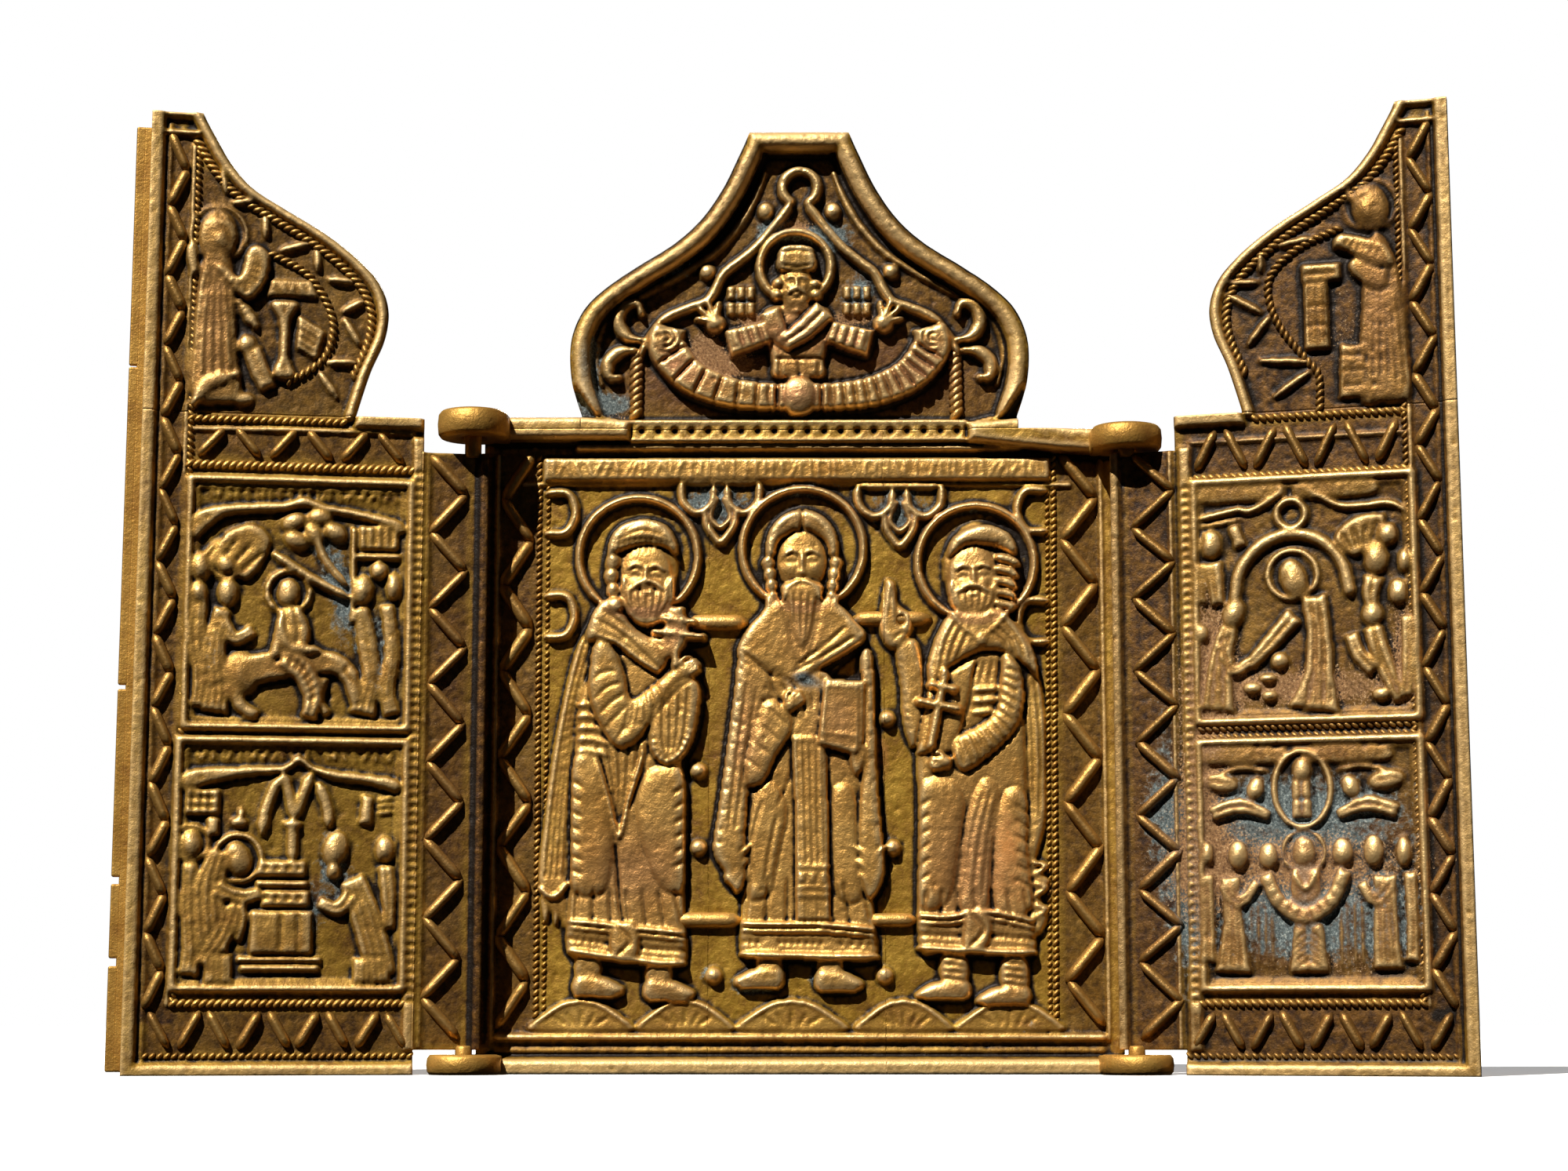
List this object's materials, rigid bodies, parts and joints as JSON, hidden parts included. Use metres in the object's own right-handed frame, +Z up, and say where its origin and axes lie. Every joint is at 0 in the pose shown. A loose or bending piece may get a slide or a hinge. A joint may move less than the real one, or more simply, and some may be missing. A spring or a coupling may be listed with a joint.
{
  "type": "folding triptych altarpiece",
  "caption": "Small cast brass folding triptych: centre panel with an ogee crest, saints in relief, and hinged wings with carved scenes.",
  "frame": {"origin": "middle of the centre panel's underside, below the carved ground of the panel", "axes": "+Z up, the carved faces look toward -Y, +X to the viewer's right"},
  "size_m": [0.1962, 0.0224, 0.1435],
  "materials": {
    "cast_brass": "worn golden high spots over a dark brown patina, with pale green and grey crust in places"
  },
  "bodies": {
    "centre": {"centre_panel": "cast_brass"},
    "left_leaf": {"left_wing": "cast_brass"},
    "right_leaf": {"right_wing": "cast_brass"}
  },
  "joints": [
    {"name": "left_hinge", "type": "hinge", "parent": "centre", "child": "left_leaf", "pos_m": [-0.0492, -0.005, 0.048], "axis": [0, 0, 1], "range_deg": [-10, 170]},
    {"name": "right_hinge", "type": "hinge", "parent": "centre", "child": "right_leaf", "pos_m": [0.0492, -0.005, 0.048], "axis": [0, 0, -1], "range_deg": [-16, 164]}
  ]
}
